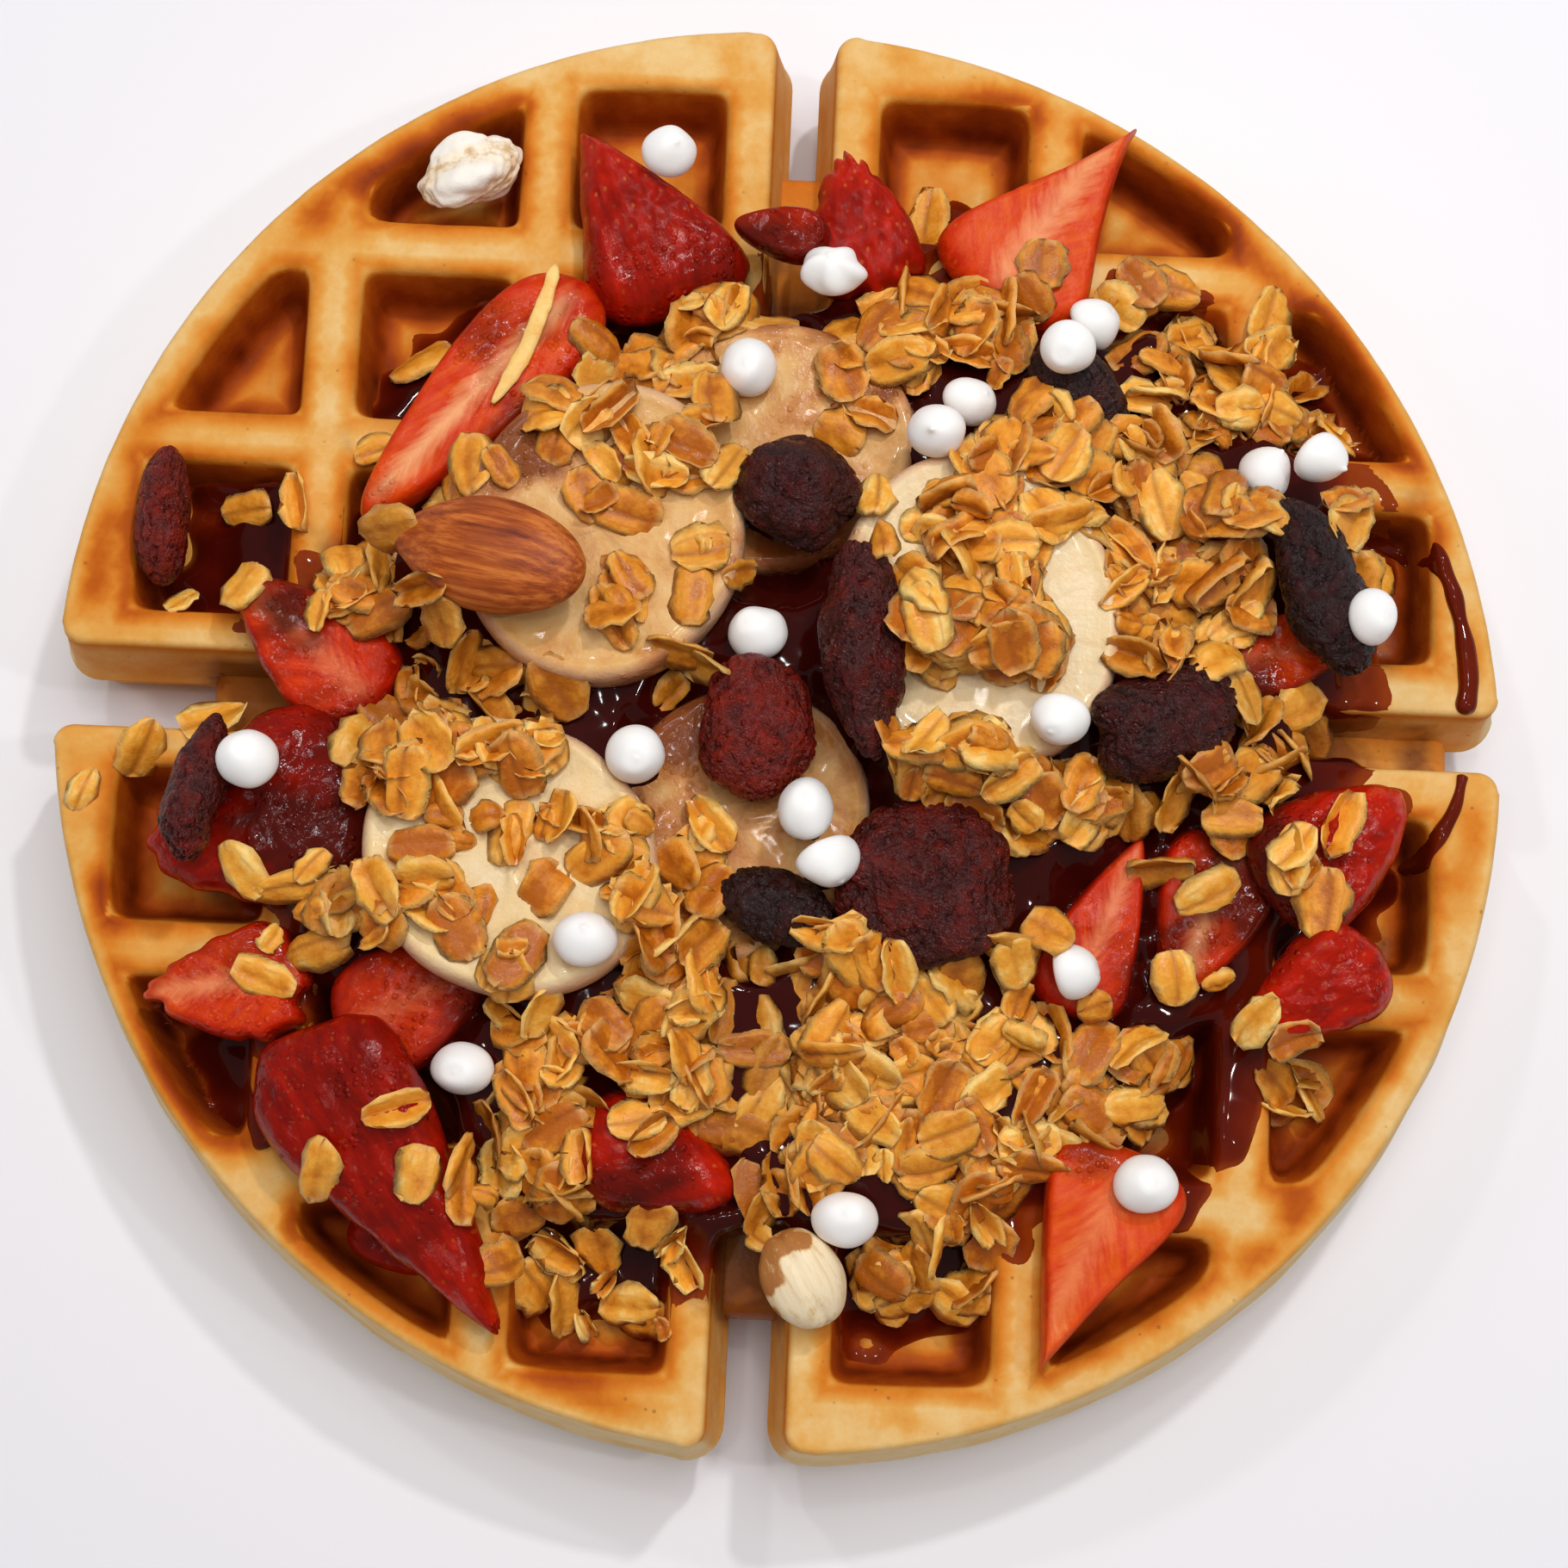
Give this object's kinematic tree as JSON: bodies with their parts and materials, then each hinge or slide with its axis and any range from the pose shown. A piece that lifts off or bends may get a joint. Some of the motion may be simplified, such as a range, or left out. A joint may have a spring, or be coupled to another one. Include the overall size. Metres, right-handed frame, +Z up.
{
  "type": "belgian waffle",
  "caption": "Thick round waffle in four joined quarters with deep pockets, topped with sliced strawberry and banana, dried fruit, nuts, white drops, oat flakes and dark syrup.",
  "frame": {"origin": "middle of the waffle's underside, on the surface that it lies on", "axes": "+Z up; the slots between the quarters run along X and Y; +Y is the side at the picture's top"},
  "size_m": [0.1781, 0.1781, 0.0481],
  "materials": {
    "waffle": "baked batter: pale cream ridges and sides with tiny specks, orange brown on the rim and round the pockets, caramel brown in them; thick dark syrup strands on the right rim",
    "granola": "golden brown rolled oat flakes with a crease along each, held by a clear dark red-brown fruit syrup that is near black where it is deep",
    "strawberry": "bright red cut flesh with a pale core and streaks, darker dimpled skin with seeds, wet with syrup",
    "banana": "cream flesh with fine radial marks, tan where the syrup wets it, and a pinkish tan rim",
    "cranberry": "dried fruit, wrinkled, dark maroon and shiny on the wrinkles, redder where it is thin",
    "raisin": "dried fruit, wrinkled, near black with a dull shine",
    "white_drop": "plain white, smooth and matt",
    "almond": "brown skin with long darker and paler streaks",
    "hazelnut": "blanched, cream, with a patch of brown skin",
    "popped": "puffed and creased, off-white with tan creases"
  },
  "bodies": {
    "root": {"almond": "almond", "banana_1": "banana", "banana_2": "banana", "banana_3": "banana", "banana_4": "banana", "banana_5": "banana", "cranberry_1": "cranberry", "cranberry_2": "cranberry", "cranberry_3": "cranberry", "cranberry_4": "cranberry", "cranberry_5": "cranberry", "cranberry_6": "cranberry", "cranberry_7": "cranberry", "granola_heap": "granola", "hazelnut": "hazelnut", "popped_cluster": "popped", "raisin_1": "raisin", "raisin_2": "raisin", "raisin_3": "raisin", "strawberry_01": "strawberry", "strawberry_02": "strawberry", "strawberry_03": "strawberry", "strawberry_04": "strawberry", "strawberry_05": "strawberry", "strawberry_06": "strawberry", "strawberry_07": "strawberry", "strawberry_08": "strawberry", "strawberry_09": "strawberry", "strawberry_10": "strawberry", "strawberry_11": "strawberry", "strawberry_12": "strawberry", "strawberry_13": "strawberry", "strawberry_14": "strawberry", "strawberry_15": "strawberry", "strawberry_16": "strawberry", "strawberry_17": "strawberry", "strawberry_18": "strawberry", "waffle": "waffle", "white_drop_01": "white_drop", "white_drop_02": "white_drop", "white_drop_03": "white_drop", "white_drop_04": "white_drop", "white_drop_05": "white_drop", "white_drop_06": "white_drop", "white_drop_07": "white_drop", "white_drop_08": "white_drop", "white_drop_09": "white_drop", "white_drop_10": "white_drop", "white_drop_11": "white_drop", "white_drop_12": "white_drop", "white_drop_13": "white_drop", "white_drop_14": "white_drop", "white_drop_15": "white_drop", "white_drop_16": "white_drop", "white_drop_17": "white_drop", "white_drop_18": "white_drop", "white_drop_19": "white_drop", "white_drop_20": "white_drop", "white_drop_21": "white_drop"}
  },
  "joints": []
}
